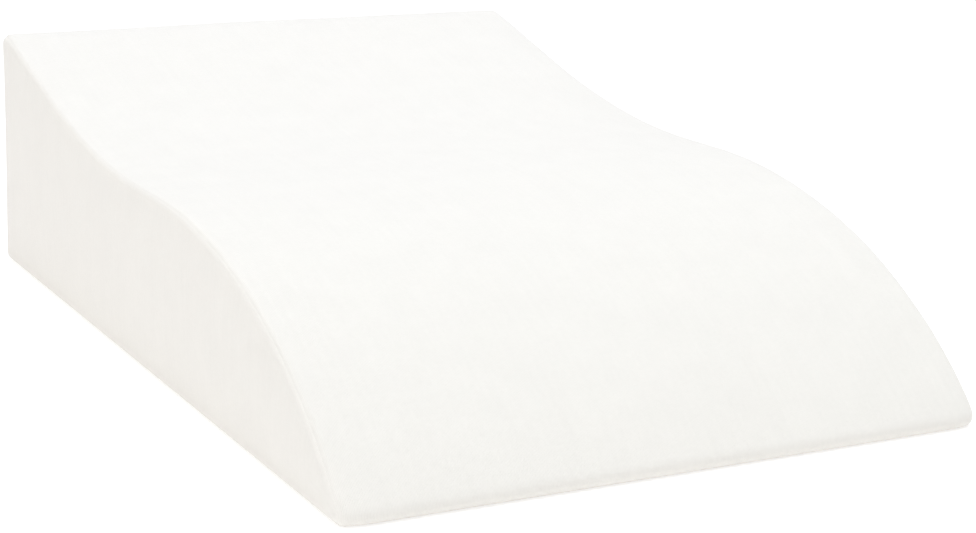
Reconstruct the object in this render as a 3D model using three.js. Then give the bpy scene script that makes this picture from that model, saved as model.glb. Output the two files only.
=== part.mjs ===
// A leg pillow: a foam wedge in a close-fitting cover, lying on its flat base.
// Its upper side rises from a low rounded nose over a level plateau, where the knees bend, to a high
// crest for the heels. Millimetres, +Z up. X runs across the pillow and Y from the nose to the crest.
// The origin is the middle of the base.
import * as THREE from 'three';
import { NURBSCurve } from 'three/addons/curves/NURBSCurve.js';

// Overall sizes at the sewn edges, before the panels swell.
const LENGTH = 700;
const WIDTH = 440;
const CREST_HEIGHT = 188;

// How far the rear face leans forward from the base to the crest.
const REAR_LEAN = 12;

// Radii where the cover turns a corner, seen from the side.
const NOSE_FOOT_RADIUS = 7;
const CREST_RADIUS = 11;
const REAR_FOOT_RADIUS = 8;

// Radius along the sewn edges of the two side panels.
const EDGE_RADIUS = 6.5;

// How far the panels swell in their middles, and the height above the base at which the top, the nose
// and the rear have their full swell. The base itself stays flat.
const WRAP_SWELL = 2.2;
const SIDE_SWELL = 3.2;
const FULL_SWELL_HEIGHT = 40;

// The upper line starts straight up the nose's lip and ends on the crest at a gentle slope. Between
// them it runs smoothly past guide points: distance from the nose tip, and height above the base.
const LIP_START_HEIGHT = 8;
const LIP_END_HEIGHT = 13;
const GUIDE_POINTS = [
  { where: 'foot of the front slope', along: 30, up: 42 },
  { where: 'front slope', along: 116, up: 99 },
  { where: 'knee rise', along: 257, up: 133 },
  { where: 'hollow behind the knee', along: 376, up: 125 },
  { where: 'calf slope', along: 520, up: 143 },
];
const CREST_SLOPE = THREE.MathUtils.degToRad(10);
const CREST_LEAD = 29;

// A side panel closes in on a line halfway up the pillow. The line starts where the pillow is this high.
const PANEL_LINE_START_HEIGHT = 36;

// How finely each stretch is divided.
const UPPER_STEPS = 44;
const CORNER_STEPS = 4;
const REAR_STEPS = 4;
const EDGE_STEPS = 4;
const WIDTH_STEPS = 6;
const PANEL_STEPS = 4;

// Above 1, the upper line's divisions crowd towards the nose, where it bends most.
const NOSE_CROWDING = 1.35;

const NOSE_Y = -LENGTH / 2;
const REAR_Y = LENGTH / 2;

// Middle of the crest's arc, and the point and direction at which the upper line meets that arc.
const CREST_CENTRE = new THREE.Vector2(REAR_Y - REAR_LEAN - CREST_RADIUS, CREST_HEIGHT - CREST_RADIUS);
const CREST_START_ANGLE = Math.PI / 2 + CREST_SLOPE;
const CREST_START = polar(CREST_RADIUS, CREST_START_ANGLE).add(CREST_CENTRE);
const CREST_DIRECTION = polar(1, CREST_SLOPE);

// A vector in the YZ plane. Angles run from +Y towards +Z.
function polar(length, angle) {
  return new THREE.Vector2(length * Math.cos(angle), length * Math.sin(angle));
}

// Points of an arc in the YZ plane, both ends included.
function arc(centre, radius, fromAngle, toAngle) {
  const points = [];
  for (let i = 0; i <= CORNER_STEPS; i += 1) {
    const angle = THREE.MathUtils.lerp(fromAngle, toAngle, i / CORNER_STEPS);
    points.push(polar(radius, angle).add(centre));
  }
  return points;
}

// The upper line in the YZ plane, as a smooth cubic curve from the nose's lip to the crest's arc.
function upperPoints() {
  const controls = [
    new THREE.Vector2(NOSE_Y, LIP_START_HEIGHT),
    new THREE.Vector2(NOSE_Y, LIP_END_HEIGHT),
    ...GUIDE_POINTS.map(({ along, up }) => new THREE.Vector2(NOSE_Y + along, up)),
    CREST_START.clone().addScaledVector(CREST_DIRECTION, -CREST_LEAD),
    CREST_START,
  ];
  const degree = 3;
  const spans = controls.length - degree;
  const knots = Array.from(
    { length: controls.length + degree + 1 },
    (_, i) => THREE.MathUtils.clamp(i - degree, 0, spans),
  );
  const weighted = controls.map(({ x, y }) => new THREE.Vector4(x, y, 0, 1));
  const line = new NURBSCurve(degree, knots, weighted);
  const points = [];
  for (let i = 0; i <= UPPER_STEPS; i += 1) {
    const { x, y } = line.getPointAt((i / UPPER_STEPS) ** NOSE_CROWDING);
    points.push(new THREE.Vector2(x, y));
  }
  return points;
}

// The crest's arc, the leaning rear face and the rear foot's arc.
function rearPoints() {
  const leanAngle = Math.atan2(REAR_LEAN, CREST_HEIGHT);
  const footCentre = new THREE.Vector2(REAR_Y - REAR_FOOT_RADIUS, REAR_FOOT_RADIUS);
  const crest = arc(CREST_CENTRE, CREST_RADIUS, CREST_START_ANGLE, leanAngle).slice(1);
  const foot = arc(footCentre, REAR_FOOT_RADIUS, leanAngle, -Math.PI / 2);
  const face = [];
  for (let i = 1; i < REAR_STEPS; i += 1) {
    face.push(crest.at(-1).clone().lerp(foot[0], i / REAR_STEPS));
  }
  return [...crest, ...face, ...foot];
}

// The closed outline of the pillow seen from the side, from the nose's foot over the top and back
// along the base. The base has a point below each point of the upper line that lies past the nose.
// Each entry also names the point of the panel line that a side panel runs to from there.
function sideOutline() {
  const noseCentre = new THREE.Vector2(NOSE_Y + NOSE_FOOT_RADIUS, NOSE_FOOT_RADIUS);
  const noseFoot = arc(noseCentre, NOSE_FOOT_RADIUS, 1.5 * Math.PI, Math.PI);
  const upper = upperPoints();
  const panelStart = upper.findIndex(({ y }) => y > PANEL_LINE_START_HEIGHT);
  const panelEnd = upper.findLastIndex(({ x, y }) => x < REAR_Y - y / 2);
  const target = (i) => THREE.MathUtils.clamp(i, panelStart, panelEnd);

  const firstAbove = upper.findIndex(({ x }) => x > noseCentre.x);
  const outline = [];
  noseFoot.forEach((point) => outline.push({ point, target: panelStart }));
  upper.forEach((point, i) => outline.push({ point, target: target(i) }));
  rearPoints().forEach((point) => outline.push({ point, target: panelEnd }));
  for (let i = upper.length - 1; i > firstAbove; i -= 1) {
    outline.push({ point: new THREE.Vector2(upper[i].x, 0), target: target(i) });
  }

  const panelLine = upper.map(({ x, y }) => new THREE.Vector2(x, y / 2));
  return { outline, panelLine };
}

// The outward normal at each outline point, from its two neighbours.
function outwardNormals(outline) {
  const count = outline.length;
  return outline.map((_, i) => {
    const before = outline[(i + count - 1) % count].point;
    const after = outline[(i + 1) % count].point;
    const run = after.clone().sub(before).normalize();
    return new THREE.Vector2(-run.y, run.x);
  });
}

// The sections across the pillow from the left side panel to the right one: where each lies, how far
// its outline is drawn in to round the sewn edge, and its swell.
function sections() {
  const flatHalf = WIDTH / 2 - EDGE_RADIUS;
  const edge = [];
  for (let i = 0; i <= EDGE_STEPS; i += 1) {
    const angle = (i / EDGE_STEPS) * (Math.PI / 2);
    edge.push({
      across: flatHalf + EDGE_RADIUS * Math.cos(angle),
      inset: EDGE_RADIUS * (1 - Math.sin(angle)),
    });
  }
  const middle = [];
  for (let i = 1; i < WIDTH_STEPS; i += 1) {
    middle.push({ across: THREE.MathUtils.lerp(-flatHalf, flatHalf, i / WIDTH_STEPS), inset: 0 });
  }
  const leftEdge = edge.map(({ across, inset }) => ({ across: -across, inset }));
  return [...leftEdge, ...middle, ...edge.toReversed()].map(({ across, inset }) => ({
    across,
    inset,
    swell: WRAP_SWELL * (1 - (across / (WIDTH / 2)) ** 2),
  }));
}

// The pillow's closed surface: the wrap as a band of faces between each two sections, and each side
// panel as rings that close in on the panel line.
function pillowGeometry() {
  const { outline, panelLine } = sideOutline();
  const normals = outwardNormals(outline);
  const positions = [];
  const faces = [];

  const addVertex = (across, place) => {
    positions.push(across, place.x, place.y);
    return positions.length / 3 - 1;
  };

  const addFace = (a, b, c) => {
    if (a !== b && b !== c && c !== a) faces.push(a, b, c);
  };

  const addBand = (near, far) => {
    near.forEach((index, i) => {
      const next = (i + 1) % near.length;
      addFace(index, far[i], far[next]);
      addFace(index, far[next], near[next]);
    });
  };

  const addSection = ({ across, inset, swell }) => outline.map(({ point }, i) => {
    const swellShare = THREE.MathUtils.smoothstep(point.y, 0, FULL_SWELL_HEIGHT);
    const moved = point.clone().addScaledVector(normals[i], swell * swellShare - inset);
    return addVertex(across, moved);
  });

  const addPanel = (edgeRing, side) => {
    const corners = edgeRing.map((index) => (
      new THREE.Vector2(positions[3 * index + 1], positions[3 * index + 2])
    ));
    let outer = edgeRing;
    for (let step = 1; step <= PANEL_STEPS; step += 1) {
      const share = step / PANEL_STEPS;
      const closed = new Map();
      const ring = outline.map(({ target }, i) => {
        if (closed.has(target)) return closed.get(target);
        const goal = panelLine[target];
        const fullSwell = SIDE_SWELL * (goal.y / (CREST_HEIGHT / 2));
        const swell = fullSwell * (1 - (1 - share) ** 2);
        const index = addVertex(side * (WIDTH / 2 + swell), corners[i].clone().lerp(goal, share));
        if (step === PANEL_STEPS) closed.set(target, index);
        return index;
      });
      if (side > 0) addBand(outer, ring);
      else addBand(ring, outer);
      outer = ring;
    }
  };

  const rings = sections().map(addSection);
  for (let i = 1; i < rings.length; i += 1) addBand(rings[i - 1], rings[i]);
  addPanel(rings.at(-1), 1);
  addPanel(rings[0], -1);

  const geometry = new THREE.BufferGeometry();
  geometry.setAttribute('position', new THREE.Float32BufferAttribute(positions, 3));
  geometry.setIndex(faces);
  return geometry;
}

// Brings the middle of the swollen pillow over the origin.
function centred(geometry) {
  geometry.computeBoundingBox();
  const middle = geometry.boundingBox.getCenter(new THREE.Vector3());
  geometry.translate(-middle.x, -middle.y, 0);
  geometry.computeVertexNormals();
  return geometry;
}

// Off-white knitted cover.
const coverMaterial = new THREE.MeshStandardMaterial({ color: 0xf4f2ec, roughness: 0.9, metalness: 0 });

const pillow = new THREE.Mesh(centred(pillowGeometry()), coverMaterial);
pillow.name = 'leg_pillow';

const legPillow = new THREE.Group();
legPillow.add(pillow);

export default legPillow;
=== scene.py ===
"""Looks of the leg pillow: a foam wedge in a close-fitting knitted cover with two sewn-in sides.

Metres, +Z up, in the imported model's frame. X runs across, Y from the low nose to the high heel end.
"""
import math

import bpy
import numpy as np
from mathutils import Matrix, Vector, noise


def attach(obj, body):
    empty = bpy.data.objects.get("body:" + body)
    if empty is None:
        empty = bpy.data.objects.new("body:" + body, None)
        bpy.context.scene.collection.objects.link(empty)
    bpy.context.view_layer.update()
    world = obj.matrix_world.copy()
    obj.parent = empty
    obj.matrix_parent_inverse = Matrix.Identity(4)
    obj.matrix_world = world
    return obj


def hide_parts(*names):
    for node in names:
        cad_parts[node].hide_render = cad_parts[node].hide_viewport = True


MM = 0.001
TINY = 0.001 * MM

# Shape of the pillow, as in the solid
LENGTH = 700 * MM
WIDTH = 440 * MM
CREST_HEIGHT = 188 * MM
REAR_LEAN = 12 * MM
NOSE_FOOT_RADIUS = 7 * MM
CREST_RADIUS = 11 * MM
REAR_FOOT_RADIUS = 8 * MM
EDGE_RADIUS = 6.5 * MM
WRAP_SWELL = 2.2 * MM
SIDE_SWELL = 3.2 * MM
FULL_SWELL_HEIGHT = 40 * MM

# How far to both sides a corner's turn is spread, so that drawn-in rows do not cross at the nose
TURN_REACH = 5 * MM

# The nose's two corners are drawn in as seen from above: how far, and over which width and length
CORNER_DRAW = 4.2 * MM
CORNER_WIDTH = 22 * MM
CORNER_LENGTH = 60 * MM

# Upper line: the nose's lip, guide points from the nose tip, and how the line meets the crest
LIP_START_HEIGHT = 8 * MM
LIP_END_HEIGHT = 13 * MM
GUIDE_POINTS = {
    "foot of the front slope": (30 * MM, 42 * MM),
    "front slope": (116 * MM, 99 * MM),
    "knee rise": (257 * MM, 133 * MM),
    "hollow behind the knee": (376 * MM, 125 * MM),
    "calf slope": (520 * MM, 143 * MM),
}
CREST_SLOPE = math.radians(10)
CREST_LEAD = 29 * MM

# How finely the upper line and the nose's foot are sampled before they are divided into steps
LINE_SAMPLES = 4000
NOSE_FOOT_SAMPLES = 40

# Cover mesh. All counts are even, because the cloth simulation uses every second row and column.
LENGTH_STEPS = 176
NOSE_STEPS = 34
CREST_STEPS = 8
REAR_STEPS = 18
FOOT_STEPS = 8
WIDTH_STEPS = 96
EDGE_STEPS = 16
NOSE_CROWDING = 1.15

# Cloth simulation that swells the cover between its seams. It starts from a slightly smaller shape,
# with this share of the solid's swell, and the cloth is held fast up to the first of the two heights.
STARTING_SWELL = 0.7
SIMULATED_FRAMES = 20
CLOTH_PRESSURE = 4
HELD_HEIGHT = 3 * MM
FREE_HEIGHT = 20 * MM
SWELL_LIMIT = 1.3 * MM
SOFTENING_PASSES = 3
SOFTENING = 0.5

# Sewn seam around each side panel: a narrow valley with a soft roll on both sides. It deepens over
# the first of these lengths from the tip of the nose, where the cover turns too tightly for it.
SEAM_START = 40 * MM
SEAM_DEPTH = 0.55 * MM
SEAM_WIDTH = 0.8 * MM
ROLL_HEIGHT = 0.22 * MM
ROLL_DISTANCE = 3.2 * MM
ROLL_WIDTH = 1.8 * MM

# Small puckers beside the seam. Their depth rises and falls over the pull's length.
PUCKER_DEPTH = 0.15 * MM
PUCKER_REACH = 11 * MM
PUCKER_PITCH = 17 * MM
PULL_LENGTH = 7 * PUCKER_PITCH

# Broad unevenness of knitted cloth over foam. All relief fades out below the last height.
WAVE_HEIGHT = 0.45 * MM
WAVE_LENGTH = 95 * MM
RIPPLE_HEIGHT = 0.14 * MM
RIPPLE_LENGTH = 34 * MM
FLAT_HEIGHT = 14 * MM

# Where each noise starts, times its own seed, and how far apart the puckers of both sides are read
NOISE_START = Vector((17.3, 5.1, 11.7))
SIDES_APART = 9 * PUCKER_PITCH
GATHER_SEED = 1
PULL_SEED = 2
WAVE_SEED = 3
RIPPLE_SEED = 4

# Knit: distance between two columns of stitches and between two rows, and how far a stitch slants
WALE = 0.85 * MM
COURSE = 0.65 * MM
LEG_SLANT = 1.2

# Long faint streaks along the columns, and how far the columns wander from straight
STREAK_WIDTH = 3.5 * MM
STREAK_LENGTH = 110 * MM
WANDER = 0.3 * MM
WANDER_LENGTH = 22 * MM

# Sizes of the fuzz and the soft mottle
FUZZ_LENGTH = 2.6 * MM
MOTTLE_LENGTH = 26 * MM

# Each pattern's height on the cover, and how far it darkens and lightens the colour. For the stitches
# this colour is painted shade in the gaps between the yarn and a painted highlight on the yarn.
STITCH_RELIEF_AND_PAINTED_SHADE = {"height": 0.18 * MM, "dark": 0.93, "light": 1.03}
STREAK_LOOK = {"height": 0.06 * MM, "dark": 0.986, "light": 1.014}
FUZZ_LOOK = {"height": 0.12 * MM, "dark": 0.98, "light": 1.02}
MOTTLE_LOOK = {"height": 0.5 * MM, "dark": 0.975, "light": 1.02}

# Camera, at the photograph's viewing angle
CAMERA_PLACE = (-0.6544, -1.3772, 0.4217)
CAMERA_YAW = math.radians(26.99)
CAMERA_PITCH = math.radians(13.708)
CAMERA_ROLL = math.radians(0.691)
CAMERA_LENS = 80.02
SENSOR_WIDTH = 36

# Light: an even room, and three round softboxes aimed at the pillow
WORLD_STRENGTH = 0.71
SOFTBOX_SIZE = 1.4
SOFTBOXES = {
    "top": {"place": (0.2, -0.6, 2.5), "watts": 32, "colour": (0.86, 0.94, 1.0)},
    "rear": {"place": (0.5, 1.9, 1.9), "watts": 12, "colour": (0.72, 0.76, 1.0)},
    "left": {"place": (-2.4, -0.3, 1.1), "watts": 10, "colour": (1.0, 1.0, 1.0)},
}
SOFTBOX_AIM = (0, 0, 0.1)

# Floor: a pale surface with a glow of its own, like a light table, so that shadows stay faint
FLOOR_RADIUS = 14
FLOOR_CORNERS = 96
FLOOR_COLOUR = (0.7, 0.7, 0.7)
FLOOR_GLOW = 0.45

# Cover colour, as linear light, and its roughness where the mottle is low and high
COVER_COLOUR = (0.862, 0.829, 0.779)
COVER_ROUGHNESS = (0.86, 0.96)


# Camera and stage

def make_camera():
    data = bpy.data.cameras.new("camera")
    data.sensor_fit = "HORIZONTAL"
    data.sensor_width = SENSOR_WIDTH
    data.lens = CAMERA_LENS
    data.clip_start = 0.05
    data.clip_end = 60
    camera = bpy.data.objects.new("camera", data)
    forward = Vector((
        math.sin(CAMERA_YAW) * math.cos(CAMERA_PITCH),
        math.cos(CAMERA_YAW) * math.cos(CAMERA_PITCH),
        -math.sin(CAMERA_PITCH),
    ))
    level = Vector((math.cos(CAMERA_YAW), -math.sin(CAMERA_YAW), 0))
    upright = level.cross(forward)
    right = math.cos(CAMERA_ROLL) * level + math.sin(CAMERA_ROLL) * upright
    up = math.cos(CAMERA_ROLL) * upright - math.sin(CAMERA_ROLL) * level
    turn = Matrix((right, up, -forward)).transposed()
    camera.matrix_world = Matrix.Translation(CAMERA_PLACE) @ turn.to_4x4()
    bpy.context.scene.collection.objects.link(camera)
    bpy.context.scene.camera = camera


def make_world():
    world = bpy.data.worlds.new("studio")
    world.use_nodes = True
    background = world.node_tree.nodes["Background"]
    background.inputs["Color"].default_value = (1, 1, 1, 1)
    background.inputs["Strength"].default_value = WORLD_STRENGTH
    bpy.context.scene.world = world
    bpy.context.scene.view_settings.view_transform = "Standard"


def make_softboxes():
    for name, softbox in SOFTBOXES.items():
        data = bpy.data.lights.new(name, "AREA")
        data.shape = "DISK"
        data.size = SOFTBOX_SIZE
        data.energy = softbox["watts"]
        data.color = softbox["colour"]
        light = bpy.data.objects.new(name, data)
        light.location = softbox["place"]
        aim = Vector(SOFTBOX_AIM) - light.location
        light.rotation_euler = aim.to_track_quat("-Z", "Y").to_euler()
        bpy.context.scene.collection.objects.link(light)


def make_floor():
    bpy.ops.mesh.primitive_circle_add(vertices=FLOOR_CORNERS, radius=FLOOR_RADIUS, fill_type="NGON")
    floor = bpy.context.object
    floor.name = "floor"
    material = bpy.data.materials.new("floor")
    material.use_nodes = True
    shader = material.node_tree.nodes["Principled BSDF"]
    shader.inputs["Base Color"].default_value = (*FLOOR_COLOUR, 1)
    shader.inputs["Roughness"].default_value = 0.9
    shader.inputs["Specular IOR Level"].default_value = 0.1
    shader.inputs["Emission Color"].default_value = (1, 1, 1, 1)
    shader.inputs["Emission Strength"].default_value = FLOOR_GLOW
    floor.data.materials.append(material)


# Side view of the pillow

def smooth_step(share):
    share = np.clip(share, 0, 1)
    return share * share * (3 - 2 * share)


def spline_points(controls, shares):
    """Points of a cubic B-spline that starts and ends on its outer controls, at shares of its run."""
    degree = 3
    controls = np.array(controls)
    spans = len(controls) - degree
    knots = np.clip(np.arange(len(controls) + degree + 1) - degree, 0, spans)
    place = np.array(shares) * spans
    span = np.minimum(place.astype(int), spans - 1)
    points = [controls[span + j] for j in range(degree + 1)]
    for level in range(1, degree + 1):
        for j in range(degree, level - 1, -1):
            start = knots[span + j]
            end = knots[span + degree + 1 + j - level]
            share = ((place - start) / (end - start))[:, None]
            points[j] = (1 - share) * points[j - 1] + share * points[j]
    return points[degree]


def distances_along(points):
    steps = np.linalg.norm(np.diff(points, axis=0), axis=1)
    return np.concatenate([[0], np.cumsum(steps)])


def shares_along(points):
    run = distances_along(points)
    return run / run[-1]


def evenly(points, steps, crowding=1.0):
    """The same line in a number of steps, even or crowded towards its start."""
    run = distances_along(points)
    places = np.linspace(0, 1, steps + 1) ** crowding * run[-1]
    return np.stack([np.interp(places, run, points[:, k]) for k in (0, 1)], axis=1)


def arc(centre, radius, start, end, steps):
    angles = np.linspace(start, end, steps + 1)
    return np.array(centre) + radius * np.stack([np.cos(angles), np.sin(angles)], axis=1)


def side_outline():
    """The closed outline in the YZ plane: up the nose, along the top, down the rear, back below."""
    nose_y = -LENGTH / 2
    rear_y = LENGTH / 2
    lean = math.atan2(REAR_LEAN, CREST_HEIGHT)
    crest_centre = np.array([rear_y - REAR_LEAN - CREST_RADIUS, CREST_HEIGHT - CREST_RADIUS])
    crest_end = math.pi / 2 + CREST_SLOPE
    crest_run = np.array([math.cos(CREST_SLOPE), math.sin(CREST_SLOPE)])
    crest = arc(crest_centre, CREST_RADIUS, crest_end, lean, CREST_STEPS)
    controls = [(nose_y, LIP_START_HEIGHT), (nose_y, LIP_END_HEIGHT)]
    controls += [(nose_y + along, up) for along, up in GUIDE_POINTS.values()]
    controls += [crest[0] - CREST_LEAD * crest_run, crest[0]]
    line = spline_points(controls, np.linspace(0, 1, LINE_SAMPLES))

    nose_centre = (nose_y + NOSE_FOOT_RADIUS, NOSE_FOOT_RADIUS)
    nose_foot = arc(nose_centre, NOSE_FOOT_RADIUS, -math.pi / 2, -math.pi, NOSE_FOOT_SAMPLES)
    is_lip = line[:, 1] < LIP_END_HEIGHT
    upper = line[~is_lip]
    nose = np.concatenate([nose_foot, line[is_lip], upper[:1]])

    foot_centre = (rear_y - REAR_FOOT_RADIUS, REAR_FOOT_RADIUS)
    foot = arc(foot_centre, REAR_FOOT_RADIUS, lean, -math.pi / 2, FOOT_STEPS)
    rear_face = np.linspace(crest[-1], foot[0], REAR_STEPS + 1)

    upper = evenly(upper, LENGTH_STEPS, NOSE_CROWDING)
    nose = evenly(nose, NOSE_STEPS)
    rear = np.concatenate([crest, rear_face[1:], foot[1:]])
    base_y = np.interp(upper[:, 0], upper[[0, -1], 0], [nose[0, 0], foot[-1, 0]])
    base = np.stack([base_y, np.zeros(len(base_y))], axis=1)
    return np.concatenate([nose, upper[1:], rear[1:], base[-2:0:-1]])


def outward(outline):
    """The outward direction at each outline point, with the turn of a corner spread out a little."""
    run = distances_along(np.concatenate([outline, outline[:1]]))
    ends = [
        [np.interp(run[:-1] + shift, run[:-1], outline[:, k], period=run[-1]) for k in (0, 1)]
        for shift in (-TURN_REACH, TURN_REACH)
    ]
    chord = np.array(ends[1]) - np.array(ends[0])
    chord /= np.linalg.norm(chord, axis=0)
    return np.stack([-chord[1], chord[0]], axis=1)


# Cover mesh

def rows_across():
    """Rows from the left side panel to the right one: place, draw-in, and distance past the seam."""
    flat_half = WIDTH / 2 - EDGE_RADIUS
    turn = np.linspace(0, math.pi / 2, EDGE_STEPS + 1)
    edge_across = flat_half + EDGE_RADIUS * np.cos(turn)
    edge_inset = EDGE_RADIUS * (1 - np.sin(turn))
    edge_past = EDGE_RADIUS * (turn - math.pi / 4)
    middle = np.linspace(-flat_half, flat_half, WIDTH_STEPS + 1)[1:-1]
    middle_past = edge_past[-1] + flat_half - abs(middle)
    across = np.concatenate([-edge_across, middle, edge_across[::-1]])
    inset = np.concatenate([edge_inset, 0 * middle, edge_inset[::-1]])
    past = np.concatenate([edge_past, middle_past, edge_past[::-1]])
    return across, inset, past


def panel_indices(length_steps, height_steps):
    """Where a side panel's rim lies on the outline: [along, up], or -1 inside the panel."""
    around = 2 * (length_steps + height_steps)
    indices = np.full((length_steps + 1, height_steps + 1), -1)
    up = np.arange(height_steps + 1)
    along = np.arange(length_steps + 1)
    indices[0, :] = up
    indices[:, -1] = height_steps + along
    indices[-1, :] = 2 * height_steps + length_steps - up
    indices[:, 0] = (2 * (height_steps + length_steps) - along) % around
    return indices


def blended_panel(rim, indices):
    """The inside of a side panel in the YZ plane, as a smooth blend of its four edges.

    The rows keep the spacing that they have at the nose and at the rear.
    """
    base = rim[indices[:, 0]][:, None]
    upper = rim[indices[:, -1]][:, None]
    nose = rim[indices[0, :]]
    rear = rim[indices[-1, :]]
    along = np.linspace(0, 1, indices.shape[0])[:, None, None]
    up_nose = shares_along(nose)[:, None]
    up_rear = shares_along(rear)[:, None]
    up = (1 - along) * up_nose + along * up_rear
    bow_of_nose = nose - (1 - up_nose) * base[0] - up_nose * upper[0]
    bow_of_rear = rear - (1 - up_rear) * base[-1] - up_rear * upper[-1]
    return (1 - up) * base + up * upper + (1 - along) * bow_of_nose + along * bow_of_rear


def with_round_corners(points):
    """The same points, with the two corners of the nose drawn in."""
    beside = np.clip(1 - (WIDTH / 2 - abs(points[..., 0])) / CORNER_WIDTH, 0, 1)
    ahead = 1 - smooth_step((points[..., 1] + LENGTH / 2) / CORNER_LENGTH)
    drawn = points.copy()
    drawn[..., 1] += CORNER_DRAW * beside ** 2 * ahead
    return drawn


def cover_points():
    """The cover before it swells: the wrap as [row across, around], a panel as [along, up]."""
    outline = side_outline()
    across, inset, _ = rows_across()
    crown = STARTING_SWELL * WRAP_SWELL * (1 - (across / (WIDTH / 2)) ** 2)
    risen = smooth_step(outline[:, 1] / FULL_SWELL_HEIGHT)
    moved = crown[:, None] * risen[None] - inset[:, None]
    sections = outline[None] + moved[..., None] * outward(outline)[None]
    wrap_across = np.broadcast_to(across[:, None, None], (*moved.shape, 1))
    wrap = np.concatenate([wrap_across, sections], axis=2)

    indices = panel_indices(LENGTH_STEPS, NOSE_STEPS)
    inside = blended_panel(sections[0], indices)
    height = inside[:, :, 1]
    lowest = height[:, :1]
    highest = height[:, -1:]
    share = (height - lowest) / (highest - lowest)
    from_rear = LENGTH / 2 - inside[:, :, 0]
    middle_bulge = STARTING_SWELL * SIDE_SWELL * highest / CREST_HEIGHT
    bulge = middle_bulge * (1 - (2 * share - 1) ** 2)
    bulge *= smooth_step(from_rear / (CREST_HEIGHT / 2))
    out = (WIDTH / 2 + bulge)[..., None]
    panels = [np.concatenate([side * out, inside], axis=2) for side in (-1, 1)]
    return with_round_corners(wrap), [with_round_corners(panel) for panel in panels]


def panel_vertices(wrap_shape, panel_shape):
    """The vertex numbers of both panels: rims on the wrap's outer rows, insides after the wrap."""
    rows, around = wrap_shape[:2]
    rim = panel_indices(panel_shape[0] - 1, panel_shape[1] - 1)
    inside = (rim < 0).sum()
    numbers = []
    for panel, row in ((0, 0), (1, rows - 1)):
        vertices = rim + row * around
        first = rows * around + panel * inside
        vertices[rim < 0] = np.arange(first, first + inside)
        numbers.append(vertices)
    return numbers


def quads(grid):
    return np.stack([grid[:-1, :-1], grid[1:, :-1], grid[1:, 1:], grid[:-1, 1:]], axis=2)


def assembled(wrap, panels):
    """One closed surface: its points, its faces, and the vertex numbers of the two panels."""
    rows, around = wrap.shape[:2]
    numbers = panel_vertices(wrap.shape, panels[0].shape)
    insides = [panel[1:-1, 1:-1].reshape(-1, 3) for panel in panels]
    points = np.concatenate([wrap.reshape(-1, 3), *insides])
    wrap_numbers = np.arange(rows * around).reshape(rows, around)
    closed = np.concatenate([wrap_numbers, wrap_numbers[:, :1]], axis=1)
    left = quads(numbers[0]).reshape(-1, 4)[:, ::-1]
    right = quads(numbers[1]).reshape(-1, 4)
    faces = np.concatenate([quads(closed).reshape(-1, 4), left, right])
    return points, faces, numbers


def mesh_object(name, points, faces):
    mesh = bpy.data.meshes.new(name)
    mesh.from_pydata(points.tolist(), [], faces.tolist())
    mesh.update()
    piece = bpy.data.objects.new(name, mesh)
    bpy.context.scene.collection.objects.link(piece)
    return piece


def coordinates(mesh):
    points = np.zeros(3 * len(mesh.vertices), np.float32)
    mesh.vertices.foreach_get("co", points)
    return points.reshape(-1, 3).astype(float)


# Cloth simulation

def simulated_move(points, faces, held):
    """How far each point moves when the cover is blown up. Held is 1 where a point is pinned."""
    cage = mesh_object("cage", points, faces)
    pins = cage.vertex_groups.new(name="held")
    for vertex in np.flatnonzero(held).tolist():
        pins.add([vertex], float(held[vertex]), "REPLACE")
    cloth = cage.modifiers.new("cloth", "CLOTH")
    settings = cloth.settings
    settings.vertex_group_mass = pins.name
    settings.use_pressure = True
    settings.uniform_pressure_force = CLOTH_PRESSURE
    settings.effector_weights.gravity = 0
    cloth.collision_settings.use_collision = False
    cloth.point_cache.frame_start = 1
    cloth.point_cache.frame_end = SIMULATED_FRAMES
    scene = bpy.context.scene
    for frame_number in range(1, SIMULATED_FRAMES + 1):
        scene.frame_set(frame_number)
    evaluated = cage.evaluated_get(bpy.context.evaluated_depsgraph_get())
    moved = coordinates(evaluated.data)
    data = cage.data
    bpy.data.objects.remove(cage)
    bpy.data.meshes.remove(data)
    scene.frame_set(1)
    return moved - points


def limited(move):
    """The same move, levelling off softly towards the limit, as foam holds the cloth back."""
    far = np.maximum(np.linalg.norm(move, axis=-1, keepdims=True), TINY)
    return move * SWELL_LIMIT * np.tanh(far / SWELL_LIMIT) / far


def softened(move, held):
    """The same move of the wrap without its shortest wrinkles, as stretchy knit has none."""
    for _ in range(SOFTENING_PASSES):
        beside = (np.roll(move, 1, axis=1) + np.roll(move, -1, axis=1)) / 2
        padded = np.concatenate([move[:1], move, move[-1:]])
        above = (padded[:-2] + padded[2:]) / 2
        move = move + SOFTENING * (1 - held)[..., None] * ((beside + above) / 2 - move)
    return move


def refined(values, axis, closed=False):
    """Twice as many rows along an axis, the new ones by a cubic through their four neighbours."""
    values = np.moveaxis(values, axis, 0)
    if closed:
        padded = np.concatenate([values[-1:], values, values[:2]])
    else:
        before = 2 * values[:1] - values[1:2]
        after = 2 * values[-1:] - values[-2:-1]
        padded = np.concatenate([before, values, after])
    between = (9 * (padded[1:-2] + padded[2:-1]) - padded[:-3] - padded[3:]) / 16
    fine = np.zeros((len(values) + len(between), *values.shape[1:]))
    fine[::2] = values
    fine[1::2] = between
    return np.moveaxis(fine, 0, axis)


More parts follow.
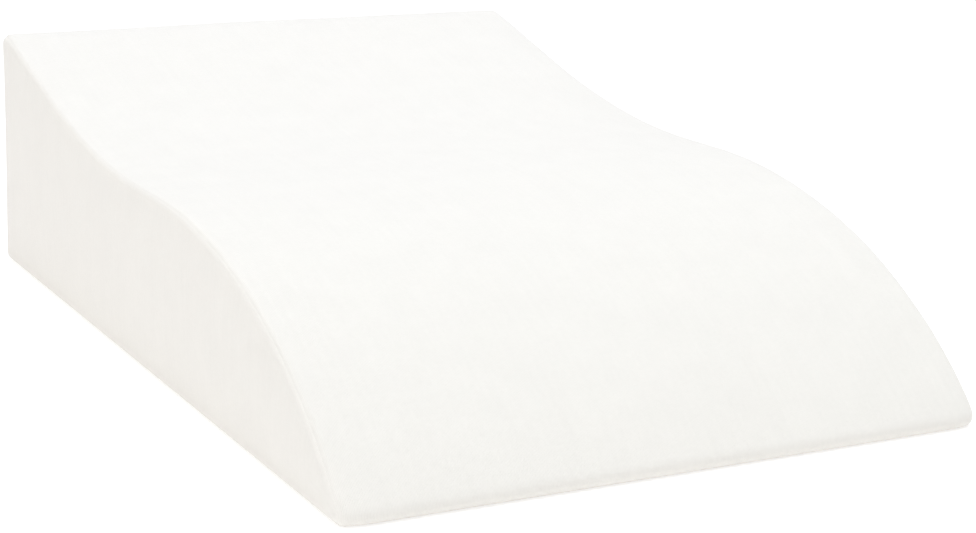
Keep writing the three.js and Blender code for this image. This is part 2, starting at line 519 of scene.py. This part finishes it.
def swollen(wrap, panels):
    """The cover with the swell of a cloth simulation that is half as fine."""
    coarse_wrap = wrap[::2, ::2]
    rows, around = coarse_wrap.shape[:2]
    points, faces, numbers = assembled(coarse_wrap, [panel[::2, ::2] for panel in panels])
    held = 1 - smooth_step((points[:, 2] - HELD_HEIGHT) / (FREE_HEIGHT - HELD_HEIGHT))
    coarse_seam = EDGE_STEPS // 4
    for seam_row in (coarse_seam, rows - 1 - coarse_seam):
        held[seam_row * around:(seam_row + 1) * around] = 1
    simulate = simulated_move
    move = limited(simulate(points, faces, held))
    in_wrap = slice(0, rows * around)
    held_wrap = held[in_wrap].reshape(rows, around)
    wrap_move = softened(move[in_wrap].reshape(rows, around, 3), held_wrap)
    wrap_move = refined(refined(wrap_move, 0), 1, closed=True)
    panel_moves = [refined(refined(move[vertices], 0), 1) for vertices in numbers]
    return wrap + wrap_move, [panel + shift for panel, shift in zip(panels, panel_moves)]


# Seams and unevenness

def along_seam(points, wrap_shape, numbers):
    """Each vertex's distance past the seam, negative on a side panel, and its place along the seam."""
    rows, around = wrap_shape[:2]
    outline = side_outline()
    run = distances_along(np.concatenate([outline, outline[:1]]))
    past = np.repeat(rows_across()[2], around)
    place = np.tile(run[:-1], rows)
    inside = len(points) - rows * around
    past = np.concatenate([past, np.zeros(inside)])
    place = np.concatenate([place, np.zeros(inside)])
    for panel, row in ((0, 0), (1, rows - 1)):
        vertices = numbers[panel][1:-1, 1:-1].ravel()
        rim = points[row * around:(row + 1) * around, 1:]
        gaps = np.linalg.norm(points[vertices][:, None, 1:] - rim[None], axis=2)
        past[vertices] = -(EDGE_RADIUS * math.pi / 4 + gaps.min(axis=1))
        place[vertices] = run[gaps.argmin(axis=1)]
    return past, place


def noise_values(places, length, seed):
    start = NOISE_START * seed
    return np.array([noise.noise(Vector(place) / length + start) for place in places])


def relief(points, past, place):
    """How far each vertex of the cover stands out or lies in, along its normal."""
    apart = abs(past)
    valley = -SEAM_DEPTH * np.exp(-(past / SEAM_WIDTH) ** 2)
    rolls = ROLL_HEIGHT * np.exp(-((apart - ROLL_DISTANCE) / ROLL_WIDTH) ** 2)

    side = SIDES_APART * np.sign(points[:, 0])
    along = np.stack([place, side, np.zeros(len(place))], axis=1)
    gathers = noise_values(along, PUCKER_PITCH, GATHER_SEED)
    pull = 1 + noise_values(along, PULL_LENGTH, PULL_SEED)
    near_seam = np.exp(-apart / PUCKER_REACH) * (1 - np.exp(-apart / MM))
    puckers = PUCKER_DEPTH * pull * gathers * near_seam

    waves = WAVE_HEIGHT * noise_values(points, WAVE_LENGTH, WAVE_SEED)
    ripples = RIPPLE_HEIGHT * noise_values(points, RIPPLE_LENGTH, RIPPLE_SEED)
    from_nose = points[:, 1] + LENGTH / 2
    seams = (valley + rolls + puckers) * smooth_step(from_nose / SEAM_START)
    return (seams + waves + ripples) * smooth_step(points[:, 2] / FLAT_HEIGHT)


# Knit

def knit_map(mesh, points, wrap_shape, faces):
    """A UV map in metres along the cloth: the wrap unrolled, the side panels seen from the side."""
    rows, around = wrap_shape[:2]
    outline = side_outline()
    run = distances_along(np.concatenate([outline, outline[:1]]))
    across, _, past = rows_across()
    unrolled = np.sign(across) * (WIDTH / 2 - EDGE_RADIUS + EDGE_RADIUS * math.pi / 4 - past)
    grid = np.stack(np.broadcast_arrays(unrolled[:, None], run[None, :]), axis=-1)
    left_seam = EDGE_STEPS // 2
    right_seam = rows - 1 - EDGE_STEPS // 2
    places = points[faces][:, :, 1:]
    on_wrap = quads(grid)[left_seam:right_seam].reshape(-1, 4, 2)
    places[left_seam * around:right_seam * around] = on_wrap
    layer = mesh.uv_layers.new(name="knit")
    layer.data.foreach_set("uv", places.reshape(-1).astype(np.float32))


def add_math(tree, operation, *values):
    node = tree.nodes.new("ShaderNodeMath")
    node.operation = operation
    for socket, value in zip(node.inputs, values):
        if isinstance(value, bpy.types.NodeSocket):
            tree.links.new(value, socket)
        else:
            socket.default_value = value
    return node.outputs[0]


def add_vector_math(tree, operation, *values):
    node = tree.nodes.new("ShaderNodeVectorMath")
    node.operation = operation
    for socket, value in zip(node.inputs, values):
        if isinstance(value, bpy.types.NodeSocket):
            tree.links.new(value, socket)
        else:
            socket.default_value = value
    return node.outputs[0]


def add_noise(tree, place, length, detail, output="Fac"):
    node = tree.nodes.new("ShaderNodeTexNoise")
    node.inputs["Scale"].default_value = 1 / length
    node.inputs["Detail"].default_value = detail
    tree.links.new(place, node.inputs["Vector"])
    return node.outputs[output]


def add_range(tree, value, low, high):
    node = tree.nodes.new("ShaderNodeMapRange")
    node.inputs["To Min"].default_value = low
    node.inputs["To Max"].default_value = high
    tree.links.new(value, node.inputs["Value"])
    return node.outputs["Result"]


def add_bump(tree, height, distance, below=None):
    node = tree.nodes.new("ShaderNodeBump")
    node.inputs["Strength"].default_value = 1
    node.inputs["Distance"].default_value = distance
    tree.links.new(height, node.inputs["Height"])
    if below is not None:
        tree.links.new(below, node.inputs["Normal"])
    return node.outputs["Normal"]


def knit_place(tree, place):
    """Where a point lies along the cloth, in metres, with columns that wander a little."""
    straight = tree.nodes.new("ShaderNodeUVMap")
    straight.uv_map = "knit"
    wandering = add_noise(tree, place, WANDER_LENGTH, 1, output="Color")
    shift = add_vector_math(tree, "MULTIPLY", wandering, (WANDER, WANDER, 0))
    return add_vector_math(tree, "ADD", straight.outputs["UV"], shift)


def stitch_height(tree, knit):
    """Columns of knit stitches, each a pair of slanting legs, from 0 in the gaps to 1 on the yarn."""
    split = tree.nodes.new("ShaderNodeSeparateXYZ")
    tree.links.new(knit, split.inputs["Vector"])
    column = add_math(tree, "DIVIDE", split.outputs["X"], WALE)
    row = add_math(tree, "DIVIDE", split.outputs["Y"], COURSE)
    slant = add_math(tree, "PINGPONG", column, 0.5)
    leaning = add_math(tree, "MULTIPLY_ADD", slant, LEG_SLANT, row)
    across_wave = add_math(tree, "SINE", add_math(tree, "MULTIPLY", column, math.pi))
    along_wave = add_math(tree, "SINE", add_math(tree, "MULTIPLY", leaning, math.pi))
    rounded = add_math(tree, "POWER", add_math(tree, "ABSOLUTE", across_wave), 0.5)
    leg = add_math(tree, "MULTIPLY_ADD", add_math(tree, "ABSOLUTE", along_wave), 0.5, 0.5)
    return add_math(tree, "MULTIPLY", rounded, leg)


def streak_height(tree, knit):
    """Long faint streaks along the columns, where some yarn lies a little tighter."""
    stretched = add_vector_math(tree, "DIVIDE", knit, (STREAK_WIDTH, STREAK_LENGTH, 1))
    return add_noise(tree, stretched, 1, 2)


def cover_material():
    material = bpy.data.materials.new("knitted_cover")
    material.use_nodes = True
    tree = material.node_tree
    shader = tree.nodes["Principled BSDF"]
    shader.inputs["IOR"].default_value = 1.45
    shader.inputs["Specular IOR Level"].default_value = 0.25
    shader.inputs["Sheen Weight"].default_value = 0.15
    shader.inputs["Sheen Roughness"].default_value = 0.5
    shader.inputs["Sheen Tint"].default_value = (1, 1, 1, 1)

    place = tree.nodes.new("ShaderNodeTexCoord").outputs["Object"]
    knit = knit_place(tree, place)
    stitches = stitch_height(tree, knit)
    streaks = streak_height(tree, knit)
    fuzz = add_noise(tree, place, FUZZ_LENGTH, 3)
    mottle = add_noise(tree, place, MOTTLE_LENGTH, 4)

    patterns = [
        (mottle, MOTTLE_LOOK),
        (streaks, STREAK_LOOK),
        (fuzz, FUZZ_LOOK),
        (stitches, STITCH_RELIEF_AND_PAINTED_SHADE),
    ]
    tone_and_painted_shade = 1
    normal = None
    # The stitches darken the colour in the gaps between the yarn and lighten it on the yarn: painted
    # shade and highlight. The mottle, streaks and fuzz are the cloth's own uneven tone.
    for pattern, look in patterns:
        own_colour_scale = add_range(tree, pattern, look["dark"], look["light"])
        tone_and_painted_shade = add_math(tree, "MULTIPLY", tone_and_painted_shade, own_colour_scale)
        normal = add_bump(tree, pattern, look["height"], normal)
    colour = tree.nodes.new("ShaderNodeVectorMath")
    colour.operation = "SCALE"
    colour.inputs[0].default_value = COVER_COLOUR
    tree.links.new(tone_and_painted_shade, colour.inputs["Scale"])
    tree.links.new(colour.outputs["Vector"], shader.inputs["Base Color"])
    tree.links.new(add_range(tree, mottle, *COVER_ROUGHNESS), shader.inputs["Roughness"])
    tree.links.new(normal, shader.inputs["Normal"])
    return material


def make_cover():
    wrap, panels = swollen(*cover_points())
    points, faces, numbers = assembled(wrap, panels)
    cover = mesh_object("cover", points, faces)
    mesh = cover.data
    normals = np.zeros(3 * len(points), np.float32)
    mesh.vertices.foreach_get("normal", normals)
    past, place = along_seam(points, wrap.shape, numbers)
    points += relief(points, past, place)[:, None] * normals.reshape(-1, 3)
    points[:, 2] = np.maximum(points[:, 2], 0)
    mesh.vertices.foreach_set("co", points.ravel().astype(np.float32))
    mesh.polygons.foreach_set("use_smooth", np.ones(len(faces), bool))
    knit_map(mesh, points, wrap.shape, faces)
    mesh.materials.append(cover_material())
    mesh.update()
    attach(cover, "root")
    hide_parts("leg_pillow")


def main():
    make_camera()
    make_world()
    make_softboxes()
    make_floor()
    make_cover()


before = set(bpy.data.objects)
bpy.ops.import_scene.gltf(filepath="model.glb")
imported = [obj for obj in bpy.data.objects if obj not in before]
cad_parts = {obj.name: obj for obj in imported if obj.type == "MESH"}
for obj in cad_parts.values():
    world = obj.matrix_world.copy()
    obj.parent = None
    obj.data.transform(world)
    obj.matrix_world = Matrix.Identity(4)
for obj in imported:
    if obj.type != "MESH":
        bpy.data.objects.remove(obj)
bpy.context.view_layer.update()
main()
